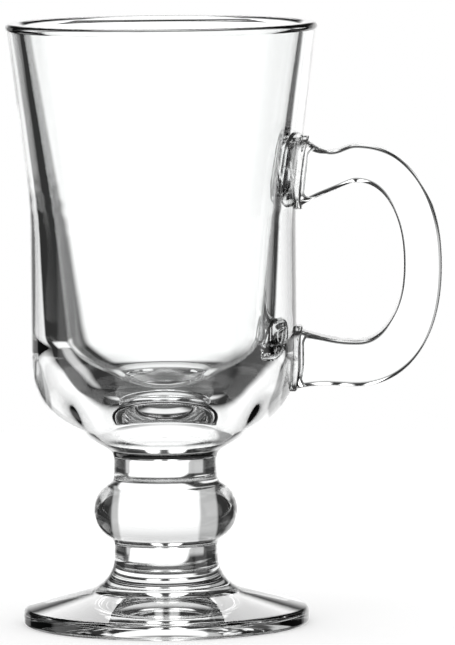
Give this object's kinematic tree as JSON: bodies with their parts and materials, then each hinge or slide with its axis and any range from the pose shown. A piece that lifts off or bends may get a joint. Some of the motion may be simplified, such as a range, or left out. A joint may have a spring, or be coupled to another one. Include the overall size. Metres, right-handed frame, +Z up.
{
  "type": "irish coffee glass mug",
  "caption": "Footed mug of clear pressed glass: a flared foot, a solid stem with a knop, a thick-walled bowl that opens to a beaded rim, and an ear handle with a flat-faced strap.",
  "frame": {"origin": "centre of the foot, on the axis of the mug, in the plane that the foot stands on", "axes": "+Z up along the axis of the mug, +X towards the handle, the plane y = 0 cuts the handle in half"},
  "size_m": [0.1058, 0.076, 0.1469],
  "materials": {
    "clear_glass": "fire-polished"
  },
  "bodies": {
    "root": {"foot": "clear_glass", "stem": "clear_glass", "bowl": "clear_glass", "handle": "clear_glass"}
  },
  "joints": []
}
